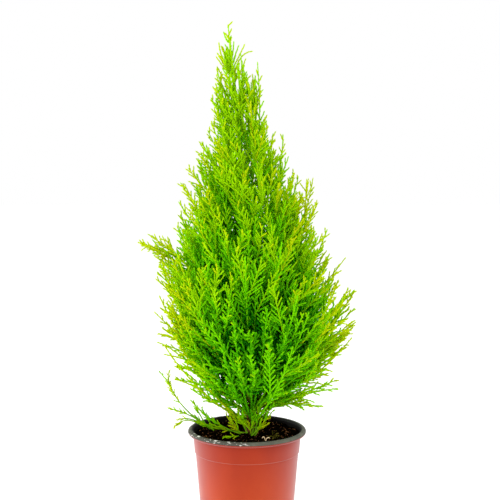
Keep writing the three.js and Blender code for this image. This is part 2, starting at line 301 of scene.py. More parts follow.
def potHoleCutters():
    # one cutter: a ring of short upright drums through the floor
    drums = pot["drainHoles"]
    corners = pot["drainCorners"]
    drum = (np.arange(drums) + 0.5) * 2 * np.pi / drums
    turn = np.linspace(0, 2 * np.pi, corners, endpoint=False)
    ringRadius = np.array([0, pot["drainRadius"], pot["drainRadius"], 0])[None, :, None]
    ringHeight = np.array([pot["drainFrom"], pot["drainFrom"], pot["drainTo"], pot["drainTo"]], float)
    x = pot["drainCircle"] * np.cos(drum)[:, None, None] + ringRadius * np.cos(turn)
    y = pot["drainCircle"] * np.sin(drum)[:, None, None] + ringRadius * np.sin(turn)
    z = ringHeight[None, :, None] + 0 * x
    rings = len(ringHeight)
    faces = gridFaces(rings, corners)
    allFaces = (faces[None] + (np.arange(drums) * rings * corners)[:, None, None]).reshape(-1, 4)
    cutter = meshPiece("drainCutter", np.stack([x, y, z], -1), allFaces)
    mergeDoubles(cutter)
    return cutter


def cutHoles(piece, cutter):
    # the cutter's space is taken out of the piece's mesh
    cut = piece.modifiers.new("drain", "BOOLEAN")
    cut.object = cutter
    cut.solver = "EXACT"
    settled = piece.evaluated_get(bpy.context.evaluated_depsgraph_get())
    mesh = bpy.data.meshes.new_from_object(settled)
    piece.modifiers.clear()
    piece.data = mesh


def lipRoll(turn, inset):
    # radius and height on the rolled lip at angles in degrees from its outermost line, set in by inset
    radius = pot["lipRadius"] + (pot["lipHalfWidth"] - inset) * np.cos(np.radians(turn))
    middle = pot["height"] - pot["lipHalfHeight"]
    return np.stack([radius, middle + (pot["lipHalfHeight"] - inset) * np.sin(np.radians(turn))], -1)


def wallProfile(inset, floorHeight):
    # radius and height up the wall, set in by inset, with close steps at the stacking step
    step = pot["stepHeight"]
    under, edge, over = pot["nearStep"]
    below, across, above = pot["wallRings"]
    height = np.concatenate([
        np.linspace(pot["baseRound"], step - under, below),
        np.linspace(step - edge, step + pot["stepDepth"] + edge, across),
        np.linspace(step + over, pot["wallTopHeight"], above),
    ])
    return np.stack([potWallRadius(height) - inset, np.maximum(height, floorHeight)], -1)


wrapTurn = np.linspace(pot["wrapFrom"], pot["wrapTo"], pot["wrapRings"])
rounding = np.linspace(0, np.pi / 2, pot["roundRings"])[:-1]
baseRadius = potWallRadius(pot["baseRound"])
baseEdge = np.stack([baseRadius - pot["baseRound"] * (1 - np.sin(rounding)),
                     pot["baseRound"] * (1 - np.cos(rounding))], -1)
shellFloor = pot["shellFloor"]
shellProfile = np.vstack([
    [(radius, 0) for radius in pot["baseRings"]], baseEdge, wallProfile(0, 0), lipRoll(wrapTurn, 0),
    lipRoll(wrapTurn[::-1], pot["wrapThick"]), wallProfile(pot["shell"], shellFloor)[::-1],
    [(pot["floorRing"], shellFloor), (0, shellFloor)]])
potShell = turnedPiece("potShell", shellProfile[:, 0], shellProfile[:, 1], pot["around"])

lipTurn = np.linspace(pot["lipFrom"], pot["lipTo"], pot["lipRings"])
underWrap = 1 - smoothStep(lipTurn, pot["wrapTo"] - 1, pot["wrapTo"] + 6)
lipInset = (pot["wrapThick"] + pot["linerGap"]) * underWrap
linerFloor = shellFloor + pot["linerGap"]
linerProfile = np.vstack([
    [(0, linerFloor), (pot["floorRing"], linerFloor)],
    wallProfile(pot["shell"] + pot["linerGap"], linerFloor)[:-1],
    lipRoll(lipTurn, lipInset), wallProfile(pot["wall"], pot["floor"])[:-1][::-1],
    [(pot["floorRing"], pot["floor"]), (0, pot["floor"])]])
potLiner = turnedPiece("potLiner", linerProfile[:, 0], linerProfile[:, 1], pot["around"])

drainCutter = potHoleCutters()
for piece in (potShell, potLiner):
    cutHoles(piece, drainCutter)
bpy.data.objects.remove(drainCutter)

# the wall is cloudy, darker towards the lip with painted shade from the lip and paler along the step with a
# painted highlight, with a soft sheen at its edges
sheen = {"Sheen Weight": 0.4, "Sheen Tint": (0.66, 0.86, 0.95, 1), "Sheen Roughness": 0.5}
terracotta, tree, shader = newMaterial("terracottaPlastic", linear(170, 48, 4), 0.42, 0.12, sheen)
cloud = objectNoise(tree, 26, 4, (1, 1, 0.5))
wallColor = colorRamp(tree, cloud, (0.3, (164, 48, 4)), (0.55, (174, 56, 8)), (0.8, (182, 63, 13)))
# painted shade from the lip: the upper wall turns darker towards the lip
lipShadeColor = colorRamp(tree, cloud, (0.3, (144, 33, 0)), (0.8, (160, 42, 0)))
underLipShade = alongAxis(tree, "Z", 50, pot["wallTopHeight"])
wallWithLipShade = blended(tree, underLipShade, wallColor, lipShadeColor)
# painted highlight: a thin pale line along the step
stepHighlightColor = colorRamp(tree, cloud, (0.4, (158, 48, 12)), (0.7, (186, 84, 52)))
fromEdge = alongAxis(tree, "Z", pot["stepHeight"] - 0.2, pot["stepHeight"] + 1.2)
stepHighlightMask = colorRamp(tree, fromEdge, (0.0, (0, 0, 0)), (0.5, (255, 255, 255)), (1.0, (0, 0, 0)))
paint(tree, shader, blended(tree, stepHighlightMask, wallWithLipShade, stepHighlightColor))
scuff = objectNoise(tree, 900, 2, (1, 1, 0.15))
bumpFrom(tree, shader, scuff, 0.06, 0.0004)
potShell.data.materials.append(terracotta)

# the liner is near black inside and grey on the lip, which has pale flecks along its left
lipPlastic, tree, shader = newMaterial("lipPlastic", linear(70, 64, 66), 0.55, 0.06)
cloud = objectNoise(tree, 160, 4)
plain = colorRamp(tree, cloud, (0.3, (72, 73, 65)), (0.7, (98, 98, 86)))
# pale flecks where the noise is high, only towards the lip's left
flecks = objectNoise(tree, 300, 3, (1, 1, 2.5))
fleckColor = colorRamp(tree, flecks, (0.56, (76, 75, 68)), (0.61, (150, 146, 136)), (0.67, (240, 238, 232)))
towardsLeft = alongAxis(tree, "X", 6, -4)
outside = blended(tree, towardsLeft, plain, fleckColor)
inside = colorRamp(tree, cloud, (0.3, (8, 7, 5)), (0.7, (18, 16, 12)))
isOutside = awayFromAxis(tree, 60.2, 61.2)
paint(tree, shader, blended(tree, isOutside, inside, outside))
potLiner.data.materials.append(lipPlastic)

for piece in (potShell, potLiner):
    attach(piece, "root")
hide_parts("pot")
print("pot ready")


# Soil: a filled block with a crumbly top, and loose bits on it

soil = {"around": 220, "rings": 70, "level": 111.2, "tilt": 3.0, "tiltSpan": 58, "sink": 1.2, "clear": 0.25,
        "overFloor": 0.3, "waves": 28, "shortest": 2.2, "longer": 1.13, "waveSize": 0.13, "wavePower": 0.55,
        "ringPower": 0.8, "edgeFade": 0.6, "edgePower": 6, "downHeights": (100, 94.5, 90, 50)}
# loose bits: their name, count, first index, least and greatest size in mm, and the round that they lie in
looseBits = [
    {"name": "soilCrumbs", "count": 700, "first": 100, "sizes": (0.5, 2.6), "spread": 55, "centre": (0, 0)},
    {"name": "barkBits", "count": 900, "first": 5000, "sizes": (0.3, 1.1), "spread": 55, "centre": (0, 0)},
    {"name": "mossBits", "count": 60, "first": 9000, "sizes": (0.4, 1.3), "spread": 7, "centre": (30, -9)},
]


def soilTop(x, y):
    # the mean level, a gentle rise to the back right, and crumbs as sums of short waves in many directions
    height = soil["level"] + np.maximum(soil["tilt"] * (0.7 * x + 0.7 * y) / soil["tiltSpan"], -soil["sink"])
    for wave in range(soil["waves"]):
        angle = 2 * np.pi * scatter(wave, 11)
        phase = 2 * np.pi * scatter(wave, 12)
        length = soil["shortest"] * soil["longer"] ** wave
        size = soil["waveSize"] * length ** soil["wavePower"]
        height = height + size * np.sin((x * np.cos(angle) + y * np.sin(angle)) * 2 * np.pi / length + phase)
    return height


def soilPiece():
    # top: polar grid lifted to soilTop; then down the pot's inside to a flat bottom
    angle = np.linspace(0, 2 * np.pi, soil["around"], endpoint=False)
    inside = potWallRadius(soil["level"]) - pot["wall"] - soil["clear"]
    radius = np.linspace(0, 1, soil["rings"])[:, None] ** soil["ringPower"] * inside
    x = radius * np.cos(angle)
    y = radius * np.sin(angle)
    fade = 1 - soil["edgeFade"] * (radius / inside) ** soil["edgePower"]
    z = mix(soil["level"], soilTop(x, y), fade)
    bottom = pot["floor"] + soil["overFloor"]
    downHeights = np.array([*soil["downHeights"], bottom, bottom])[:, None]
    downRadii = potWallRadius(downHeights) - pot["wall"] - soil["clear"]
    downRadii[-1] = 0
    points = np.stack([
        np.concatenate([x, downRadii * np.cos(angle)]),
        np.concatenate([y, downRadii * np.sin(angle)]),
        np.concatenate([z, downHeights + 0 * angle])], -1)
    piece = meshPiece("soilBlock", points, gridFaces(len(points), soil["around"]))
    mergeDoubles(piece)
    return piece


# a bit's least size along its three axes and what may be added, how far it tips in radians, and its lift
bitShape = {"least": (1, 0.5, 0.25), "more": (1, 0.5, 0.4), "tip": 0.9, "lift": 0.25}


def bitsPiece(bits):
    # flat-sided crumbs: stretched and turned octahedra scattered evenly over a round of the soil
    index = np.arange(bits["count"]) + bits["first"]
    radius = bits["spread"] * np.sqrt(scatter(index, 21))
    angle = 2 * np.pi * scatter(index, 22)
    x = bits["centre"][0] + radius * np.cos(angle)
    y = bits["centre"][1] + radius * np.sin(angle)
    size = mix(*bits["sizes"], scatter(index, 23) ** 3)
    corners = np.array([(1, 0, 0), (-1, 0, 0), (0, 1, 0), (0, -1, 0), (0, 0, 1), (0, 0, -1)], float)
    faces = np.array([(0, 2, 4), (2, 1, 4), (1, 3, 4), (3, 0, 4), (2, 0, 5), (1, 2, 5), (3, 1, 5), (0, 3, 5)])
    stretch = np.stack([scatter(index, 24), scatter(index, 25), scatter(index, 26)], -1)
    stretch = np.array(bitShape["least"]) + np.array(bitShape["more"]) * stretch
    shape = corners[None] * (size[:, None] * stretch)[:, None, :]
    turn = 2 * np.pi * scatter(index, 27)
    tip = bitShape["tip"] * (scatter(index, 28) - 0.5)
    cos = np.cos(turn)[:, None]
    sin = np.sin(turn)[:, None]
    turned = np.stack([shape[..., 0] * cos - shape[..., 1] * sin, shape[..., 0] * sin + shape[..., 1] * cos,
                       shape[..., 2] + shape[..., 0] * np.sin(tip)[:, None]], -1)
    points = np.stack([x, y, soilTop(x, y) + bitShape["lift"] * size], -1)[:, None] + turned
    allFaces = faces[None] + (len(corners) * np.arange(bits["count"]))[:, None, None]
    return meshPiece(bits["name"], points, allFaces.reshape(-1, 3), smooth=False)


scrap = {"place": (20, -38), "curl": 2.7, "rise": 1.5, "width": 2.8, "thick": 0.7, "steps": 30, "sink": 1.0,
         "arch": 0.75, "apart": 0.3, "slant": 0.3, "taper": 0.6, "leftCurl": 0.8, "leftRise": 1.3}


def scrapPiece():
    # two strips that rise side by side and arch away from each other: x = curl (1 - cos t),
    # z = rise curl sin t, with a thin flat section
    turn = np.linspace(0, scrap["arch"] * np.pi, scrap["steps"])[:, None]
    taper = np.concatenate([[0.01], np.linspace(1, scrap["taper"], scrap["steps"] - 2), [0.01]])[:, None]
    corner = np.array([(-1, -1), (1, -1), (1, 1), (-1, 1)]) / 2
    thick = scrap["thick"] * taper * corner[:, 1]
    x = scrap["apart"] + scrap["curl"] * (1 - np.cos(turn)) + thick * np.cos(turn)
    y = scrap["width"] * taper * corner[:, 0] + scrap["slant"] * x
    z = scrap["rise"] * scrap["curl"] * np.sin(turn) - thick * np.sin(turn)
    middleX, middleY = scrap["place"]
    floorHeight = soilTop(*np.array(scrap["place"], float)) - scrap["sink"]
    right = np.stack([x + middleX, y + middleY, z + floorHeight], -1)
    left = np.stack([middleX - scrap["leftCurl"] * x, middleY - y, scrap["leftRise"] * z + floorHeight], -1)
    faces = gridFaces(scrap["steps"], len(corner))
    allFaces = np.vstack([faces, faces + len(corner) * scrap["steps"]])
    piece = meshPiece("dryScrap", np.stack([right, left]), allFaces)
    mergeDoubles(piece)
    return piece


soilBlock = soilPiece()
soilCrumbs, barkBits, mossBits = [bitsPiece(bits) for bits in looseBits]
dryScrap = scrapPiece()
earth = grainyMaterial(
    "darkPeat", (12, 7, 4), 1.0, 0.0, (520, 5),
    (0.35, (2, 1, 0)), (0.6, (10, 5, 1)), (0.76, (40, 22, 8)), bump=(0.6, 0.0012))
paleBit = grainyMaterial(
    "barkChip", (120, 72, 38), 0.85, 0.3, (700, 3),
    (0.35, (84, 46, 22)), (0.6, (136, 84, 44)), (0.8, (168, 120, 70)))
moss = grainyMaterial(
    "dryMoss", (96, 92, 22), 0.9, 0.1, (700, 3), (0.35, (70, 66, 10)), (0.7, (132, 122, 36)))
dryTan = grainyMaterial(
    "dryTan", (196, 152, 100), 0.8, 0.2, (420, 3), (0.35, (204, 156, 106)), (0.7, (248, 222, 178)))
soilFinishes = {soilBlock: earth, soilCrumbs: earth, barkBits: paleBit, mossBits: moss, dryScrap: dryTan}
for piece, finish in soilFinishes.items():
    piece.data.materials.append(finish)
    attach(piece, "root")
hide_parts("soil")
print("soil ready")


# Growth: trunk, boughs, branchlets and shoots follow one rule, the same as the solids'

trunk = {"footX": 5, "lean": -25, "leanOver": (0.42, 1.02), "sway": 3, "swayPace": 5,
         "footRadius": 4.6, "endRadius": 0.9, "flare": 0.7, "flareHeight": 0.02, "end": 0.77, "foot": 111.3}
crown = {"height": 451, "slices": 200, "crowding": 0.5, "pastTip": 8, "pastTop": 18, "pastOver": (0.5, 0.8),
         "beyond": 4.0, "thinOver": (0.68, 0.93), "thinLoss": 0.6, "waist": 0.11, "waistLoss": 0.8,
         "lowOver": (140, 300), "highOver": (430, 530)}
# the crown's radius in mm at shares of its height
crownOutline = np.array([
    (0, 12), (0.059, 34), (0.088, 53), (0.119, 65), (0.177, 82), (0.25, 101), (0.31, 106), (0.412, 99),
    (0.469, 92), (0.571, 72), (0.644, 57), (0.702, 46), (0.755, 33), (0.815, 25), (0.87, 17), (0.93, 12),
    (1, 0),
])
# how far in mm the crown's outline lies to the right of the trunk at shares of its height
crownShift = np.array([
    (0, 0), (0.2, 2), (0.3, 8), (0.35, 4), (0.42, -6), (0.52, -5), (0.58, 0), (0.64, -4), (0.72, 0),
])
boughRule = {"count": 20, "lowestTip": 0.1, "highestTip": 0.94, "firstAngle": 205, "goldenAngle": 137.508,
             "angleJitter": 16, "reachJitter": 0.16, "lowSpread": 66, "spreadLoss": 54, "lowestFoot": 0.015,
             "underEnd": 0.06, "arch": 0}
bend = {"out": 0.54, "outByArch": -0.16, "up": 0.44, "upByArch": 0.24}
innerRule = {**boughRule, "count": 165, "lowestTip": 0.2, "highestTip": 0.95, "firstAngle": 40,
             "lowSpread": 48, "spreadLoss": 32, "leastReach": 0.66, "mostReach": 1.03, "arch": -0.4}
fanRule = {**boughRule, "count": 38, "firstAngle": 250, "lowestFoot": 0.05, "highestFoot": 0.11,
           "lowestTip": 0.11, "highestTip": 0.32, "leastReach": 0.6, "mostReach": 1.0, "arch": 0.8}
footRule = {**boughRule, "count": 5, "firstAngle": 280, "lowestFoot": 0.002, "highestFoot": 0.02,
            "lowestTip": 0.05, "highestTip": 0.14, "leastReach": 0.4, "mostReach": 0.8, "arch": 0.5}
# direction in degrees from +X, foot and tip as shares of the crown's height, reach in mm, how full the
# bough is with branchlets, how far in mm its sprays may pass the crown's outline, and its arch: above 0 it
# rises first and then leans out, below 0 it runs out first and then rises
strayBoughs = [
    (8, 0.62, 0.9, 29, 1, 24, -1.2), (-12, 0.36, 0.628, 74, 1, 14, -1), (176, 0.3, 0.462, 117, 0.9, 24, 1.3),
    (-8, 0.13, 0.36, 112, 1, 10, 0), (-4, 0.055, 0.116, 94, 0.7, 80, 1), (-35, 0.012, 0.085, 30, 0.4, 10, 0),
    (-3, 0.09, 0.312, 112, 0.8, 10, 0), (4, 0.06, 0.266, 110, 0.8, 10, 0), (183, 0.2, 0.4, 102, 0.8, 8, 0),
    (184, 0.36, 0.615, 70, 0.8, 10, 0), (-6, 0.5, 0.73, 47, 0.8, 8, -1), (-2, 0.07, 0.215, 104, 0.8, 10, 0.6),
    (0, 0.06, 0.15, 84, 0.6, 10, 0.8), (240, 0.17, 0.41, 97, 1, 8, 0), (-55, 0.17, 0.41, 97, 1, 8, 0),
    (180, 0.08, 0.248, 102, 0.8, 10, 1.2), (177, 0.075, 0.219, 98, 0.8, 10, 1.2),
    (183, 0.065, 0.169, 83, 0.7, 10, 1.2), (178, 0.055, 0.135, 84, 0.6, 14, 1.2),
    (5, 0.065, 0.174, 90, 0.7, 10, 1.2), (186, 0.055, 0.092, 54, 0.9, 14, 1),
    (172, 0.06, 0.11, 64, 0.9, 12, 1.2), (-7, 0.06, 0.105, 62, 0.9, 14, 1.2),
    (178, 0.24, 0.43, 100, 1, 10, 0.4), (186, 0.17, 0.385, 104, 0.9, 10, 0.3),
    (-6, 0.045, 0.085, 58, 0.9, 14, 1), (3, 0.045, 0.09, 52, 0.9, 14, 0.8),
    (184, 0.05, 0.085, 40, 0.9, 14, 0.8),
]
# limbs listed one by one, start, bend and end of each in mm: two bare stems that run over the soil to the
# left, then the limbs that fork over the left of the lip and the stems that rise round the trunk's foot
lowStems = [
    (2, -4, 113.5, -24, -8, 116, -58, -7, 127), (-4, -10, 113.5, -36, -12, 122, -62, -6, 151),
]
lowLimbs = [
    (-50, -6, 125, -90, -8, 158, -85, -8, 184), (-46, -6, 124, -70, -8, 140, -86, -8, 142),
    (-48, -8, 122, -68, -12, 137, -80, -14, 122), (-50, -6, 124, -64, -11, 135, -76, -13, 130),
    (-46, -4, 124, -52, -4, 134, -59, -4, 149), (-38, -4, 121, -44, -2, 130, -50, 0, 141),
    (-40, -8, 119, -46, -10, 124, -54, -12, 128), (-42, -4, 120, -50, -2, 127, -60, 0, 132),
    (-36, -10, 118, -42, -12, 123, -50, -14, 127),
    (-2, -14, 112.5, -14, -24, 115, -25, -28, 115.5),
    (0, -12, 112.5, -14, -13, 118, -23, -12, 137),
    (14, -12, 122, -8, -16, 120, -24, -12, 146), (6, -12, 112.5, 8, -13, 126, 7, -12, 146),
    (1, -12, 112.5, -2, -14, 122, -6, -13, 138), (3, -13, 112.5, -6, -15, 124, -12, -14, 152),
    (8, -12, 113, 12, -14, 130, 16, -14, 155), (4, -15, 112.5, 13, -16, 120, 29, -15, 142),
    (5, -14, 112.5, 4, -16, 120, 1, -16, 130), (8, -13, 112.5, 13, -15, 118, 15, -16, 128),
]
# little shoots set in the same way, at the heads of the leader and the second leader, on the left arm, at
# the trunk's foot and low on the left and right
setSprigs = [
    (-20.3, 0, 553.5, -20.5, 0, 556.5, -15.8, 0, 560),
    (-20.3, 0, 539, -23, 0, 543, -24.6, 0, 549),
    (-20.2, 0, 545, -19, 0, 547, -17, 0, 551), (-20.2, 0, 538, -19, 0, 541, -16.8, 0, 545),
    (-14, -1, 500, -10, -2, 528, 5.5, -2, 529), (-18, 0, 506, -10, 0, 520, -2.5, 0, 536),
    (-24, 0, 517, -29.6, 0, 529, -29.8, 0, 538), (-19, 0, 518, -26, 0, 528, -27.3, 0, 534.5),
    (-18, 0, 503, -25, 0, 512, -32.6, 0, 523), (-24, 1, 515, -29, 1, 522, -31.5, 1, 527),
    (-20, 1, 516, -21, 1, 526, -22, 1, 532), (-19, 1, 516, -17.5, 1, 528, -16.8, 1, 535),
    (-18, -1, 512, -14.5, -1, 527, -13.9, -1, 539), (-18, -1, 510, -13.5, -1, 522, -8.8, -1, 535),
    (-16, 0, 492, -7, 0, 505, -1.3, 0, 521), (-18, 1, 488, -25, 1, 499, -30.8, 1, 511),
    (-18, 1, 476, -29, 1, 492, -32.6, 1, 504), (8.5, 4, 470, 7, 4, 498, 5.9, 4, 504.5),
    (9, 4, 488, 9, 4, 499, 8.9, 4, 503), (8.5, 4, 474, 13, 4, 484, 17, 4, 488),
    (9, 4, 479, 12, 4, 486, 13, 4, 490.5), (8, 4, 466, 5, 4, 484, 4.5, 4, 496),
    (8, 4, 468, 12.5, 4, 480, 16, 4, 482.5), (7, 4, 458, 1, 3, 481, -0.2, 2, 497),
    (-20, -2, 508, -23, -2, 518, -24.5, -2, 527), (-20, -2, 510, -21.5, -2, 520, -22.5, -2, 530),
    (-19.5, -2, 510, -19, -2, 520, -18.5, -2, 531),
    (-19.5, -2, 508, -17, -2, 519, -15.5, -2, 529),
    (-19.5, 2, 506, -14.5, 2, 516, -12, 2, 525), (-20, 2, 508, -26, 2, 516, -27, 2, 523),
    (-20, 2, 512, -18, 2, 522, -16.8, 2, 530), (-20, 2, 512, -22.5, 2, 521, -24, 2, 529),
    (-20, 0, 514, -20.5, 0, 524, -20.5, 0, 533), (8, 4, 478, 6.5, 4, 490, 5.6, 4, 498.5),
    (8.5, 4, 482, 8, 4, 492, 8, 4, 499), (8, 4, 474, 4, 4, 484, 2.2, 4, 494.5),
    (8, 4, 470, 3, 4, 480, 0, 4, 490.5), (9, 4, 477, 11, 4, 485, 12.8, 4, 490),
    (8.5, 5, 466, 7, 5, 480, 7, 5, 490), (8, 3, 468, 10, 3, 480, 10.5, 3, 492),
    (8, 5, 462, 6, 5, 474, 5, 5, 486), (9, 3, 462, 11, 3, 473, 12, 3, 482),
    (-93, 8, 319, -96, 8, 322, -99, 8, 328), (-86, 8, 316, -89, 8, 322, -92, 8, 330),
    (-80, 8, 313, -83, 8, 320, -85, 8, 327), (-104, 9, 319, -110, 9, 319.5, -115, 9, 314),
    (-99, 8, 319, -104, 8, 317, -108, 8, 313), (-90, 8, 318, -94, 8, 314, -100, 8, 311),
    (-12, -14, 121, -15, -15, 123, -20, -16, 125), (-15, -14, 125, -16, -15, 129, -18, -15, 134),
    (-10, -13, 119, -10, -14, 124, -13, -15, 131), (-3, -15, 126, -7, -16, 129, -10, -17, 135),
    (-5, -15, 132, -4, -16, 137, -5, -16, 143), (4, -16, 120, 1, -17, 123, -2, -18, 127),
    (4, -16, 121, 6, -17, 125, 7, -18, 130), (12, -14, 132, 16, -15, 135, 19, -16, 141),
    (11, -14, 128, 9, -15, 133, 9, -16, 140), (15, -16, 123, 20, -16, 124, 24, -17, 128),
    (13, -16, 121, 14, -17, 127, 16, -17, 133), (19, -16, 129, 20, -16, 134, 22, -16, 139),
    (-77, -6, 218, -87, -6, 225, -97, -6, 224), (-72, 4, 197, -87, 4, 210, -98, 4, 213),
    (-69, -8, 197, -82, -8, 201, -90, -8, 202), (-61, 6, 181, -72, 6, 186, -80, 6, 191),
    (-55, -4, 171, -69, -4, 184, -79, -4, 188), (-47, 2, 157, -66, 2, 170, -79, 2, 172),
    (-51, -6, 168, -58, -6, 172, -64, -6, 173), (-36, 4, 146, -42, 4, 149, -48, 4, 147),
    (63, -6, 170, 91, -6, 191, 114, -6, 220), (82, -8, 184, 88, -8, 186, 93, -8, 183),
    (86, -4, 188, 91, -4, 196, 94, -4, 198), (105, -6, 211, 107, -6, 212, 111, -6, 212),
    (94, 2, 198, 98, 2, 199, 103, 2, 200), (89, 6, 212, 98, 6, 219, 108, 6, 220),
    (88, -10, 221, 101, -10, 228, 113, -10, 229), (65, 4, 167, 78, 4, 170, 87, 4, 164),
    (56, -4, 165, 65, -4, 167, 73, -4, 164), (57, 0, 150, 65, 0, 151, 74, 0, 147),
]
placed = {"thick": 0.8, "reach": 104, "pastTop": 6, "beyond": 80, "fullness": 0.4, "leafy": 0.6,
          "keyStep": 37, "youth": 0.3}
limb = {"footRadius": 1.5, "leastFoot": 1.1, "tipRadius": 0.35, "leaderReach": 20, "leaderTip": 0.985,
        "leaderBeyond": 9, "needlesFrom": 0.45, "lowNeedlesFrom": 0.12, "stemNeedlesFrom": 0.6,
        "sparse": 0.5, "topYouth": 0.35, "youngOver": (0.3, 0.7)}


def trunkPoint(height):
    # the axis: a smooth lean in x, a sine sway in y, and height straight up
    height = np.asarray(height, float)
    x = trunk["footX"] + trunk["lean"] * smoothStep(height, *trunk["leanOver"])
    y = trunk["sway"] * np.sin(trunk["swayPace"] * height)
    return np.stack([x, y, trunk["foot"] + height * crown["height"]], -1)


def trunkRadius(height):
    # straight taper, widened at the foot by a fading flare
    taper = mix(trunk["footRadius"], trunk["endRadius"], height / trunk["end"])
    return taper * (1 + trunk["flare"] * np.exp(-height / trunk["flareHeight"]))


def crownRadius(height):
    # straight lines between the places of the outline
    return np.interp(height, crownOutline[:, 0], crownOutline[:, 1])


def lowShare(height):
    # 1 in the lowest crown, fading out upwards; the height is in mm
    return 1 - smoothStep(height, *crown["lowOver"])


def highShare(height):
    # 1 in the highest crown, fading out downwards; the height is in mm
    return smoothStep(height, *crown["highOver"])


def outlineMiddle(height):
    # the trunk's axis, moved sideways by the shift of the crown's outline
    middle = trunkPoint(np.clip(height, 0, 1))
    middle[:, 0] += np.interp(height, crownShift[:, 0], crownShift[:, 1])
    return middle


def fromOutlineAxis(points):
    # share of the crown's height, and distance from the middle of its outline there
    height = (points[:, 2] - trunk["foot"]) / crown["height"]
    middle = outlineMiddle(height)
    return height, np.hypot(points[:, 0] - middle[:, 0], points[:, 1] - middle[:, 1])


def ruledBoughs(rule):
    # direction, foot, tip and reach of boughs that follow each other by the golden angle; their tips
    # crowd by a power of the crown's radius
    index = np.arange(rule["count"])
    slices = (np.arange(crown["slices"]) + 0.5) / crown["slices"]
    slices = mix(rule["lowestTip"], rule["highestTip"], slices)
    weight = np.cumsum(crownRadius(slices) ** crown["crowding"])
    tip = slices[np.searchsorted(weight, (index + 0.5) / len(index) * weight[-1])]
    reach = crownRadius(tip) * (1 + rule["reachJitter"] * (scatter(index, 1) - 0.5))
    spread = np.radians(rule["lowSpread"] - rule["spreadLoss"] * tip)
    foot = np.clip(tip - reach / np.tan(spread) / crown["height"], rule["lowestFoot"],
                   trunk["end"] - rule["underEnd"])
    angle = rule["firstAngle"] + index * rule["goldenAngle"]
    angle = angle + rule["angleJitter"] * (scatter(index, 2) - 0.5)
    same = np.ones(len(index))
    return np.stack([angle, foot, tip, reach, same, crown["beyond"] * same, rule["arch"] * same], -1)


def shortBoughs(rule):
    # the same rule for boughs that stop short of the crown's outside by a scattered share
    table = ruledBoughs(rule)
    share = mix(rule["leastReach"], rule["mostReach"], scatter(np.arange(rule["count"]), 4))
    table[:, 1] = table[:, 2] - share * (table[:, 2] - table[:, 1])
    table[:, 3] = share * table[:, 3]
    return table


def footBoughs(rule):
    # boughs that fan out from the trunk's foot, the later ones steeper
    table = shortBoughs(rule)
    place = np.arange(rule["count"]) / rule["count"] + 0.5 * (scatter(np.arange(rule["count"]), 5) - 0.5)
    table[:, 1] = mix(rule["lowestFoot"], rule["highestFoot"], np.clip(place, 0, 1))
    return table


def curveSet(start, middle, end, side, **values):
    # curves with what each of them carries; a single number counts for all
    carried = {name: np.zeros(len(start)) + value for name, value in values.items()}
    return {"start": start, "bend": middle, "end": end, "side": side, **carried}


def boughCurves(table, reachLimit):
    # start on the trunk, bend outwards low down, end at the tip
    angle, foot, tip, reach, fullness, beyond, arch = table.T
    angle = np.radians(angle)
    out = np.stack([np.cos(angle), np.sin(angle), 0 * angle], -1)
    start = trunkPoint(foot)
    end = trunkPoint(tip) + out * reach[:, None]
    middle = start + out * ((bend["out"] + bend["outByArch"] * arch) * reach)[:, None]
    middle[:, 2] += (bend["up"] + bend["upByArch"] * arch) * (end - start)[:, 2]
    side = np.stack([-np.sin(angle), np.cos(angle), 0 * angle], -1)
    pastTip = mix(crown["pastTop"], crown["pastTip"], smoothStep(tip, *crown["pastOver"]))
    thick = limb["footRadius"] * np.sqrt(reachLimit / crownOutline[:, 1].max())
    return curveSet(
        start, middle, end, side, reach=reachLimit, beyond=beyond, fullness=fullness, top=end[:, 2] + pastTip,
        leafy=np.where(fullness < limb["sparse"], placed["leafy"], 1), share=0.5, key=1e3 * angle,
        spray=1e3 * angle, thick=np.maximum(limb["leastFoot"], thick), needlesFrom=limb["needlesFrom"],
        youth=limb["topYouth"] * smoothStep(foot, *limb["youngOver"]))


def placedCurves(table, needlesFrom, leafy):
    # listed limbs as curves, each with the level direction square to it as its side
    start, middle, end = np.moveaxis(np.array(table, float).reshape(-1, 3, 3), 1, 0)
    along = end - start
    key = placed["keyStep"] * np.arange(1.0, len(start) + 1)
    side = unit(np.stack([-along[:, 1], along[:, 0] + 1e-3, 0 * key], -1))
    return curveSet(
        start, middle, end, side, reach=placed["reach"], beyond=placed["beyond"], fullness=placed["fullness"],
        leafy=leafy, top=end[:, 2] + placed["pastTop"], share=0.5, key=key, spray=key, thick=placed["thick"],
        youth=placed["youth"], needlesFrom=needlesFrom)


def leaderCurve():
    # the leading shoot, which goes on from the trunk's end along its axis
    top = trunkPoint([trunk["end"], (trunk["end"] + limb["leaderTip"]) / 2, limb["leaderTip"]])
    return curveSet(
        top[:1], top[1:2], top[2:], np.array([[0, 1.0, 0]]), reach=limb["leaderReach"],
        beyond=limb["leaderBeyond"], fullness=1, leafy=1, top=top[2:, 2], share=0.5, key=1, spray=1,
        thick=trunk["endRadius"], youth=placed["youth"], needlesFrom=0)


def growBoughs():
    # the ruled boughs, the strays, the listed limbs, and the leading shoot last
    table = np.vstack([ruledBoughs(boughRule), strayBoughs])
    stems = placedCurves(lowStems, limb["stemNeedlesFrom"], placed["leafy"])
    forks = placedCurves(lowLimbs, limb["lowNeedlesFrom"], placed["leafy"])
    return stacked(boughCurves(table, table[:, 3]), stems, forks, leaderCurve())


def outerPart(curves, share):
    # the stretch of each curve past its share: a quadratic curve again
    start = curvePoint(curves, np.arange(len(share)), share)
    return {**curves, "start": start, "bend": mix(curves["bend"], curves["end"], share[:, None])}


def growInner():
    # shorter boughs between the main ones, which close the crown round the trunk
    table = np.vstack([shortBoughs(innerRule), footBoughs(fanRule), footBoughs(footRule)])
    return boughCurves(table, crownRadius(table[:, 2]))


def stacked(*sets):
    # several sets of curves as one, with what all of them carry
    names = set(sets[0]).intersection(*sets[1:])
    return {name: np.concatenate([curves[name] for curves in sets]) for name in names}


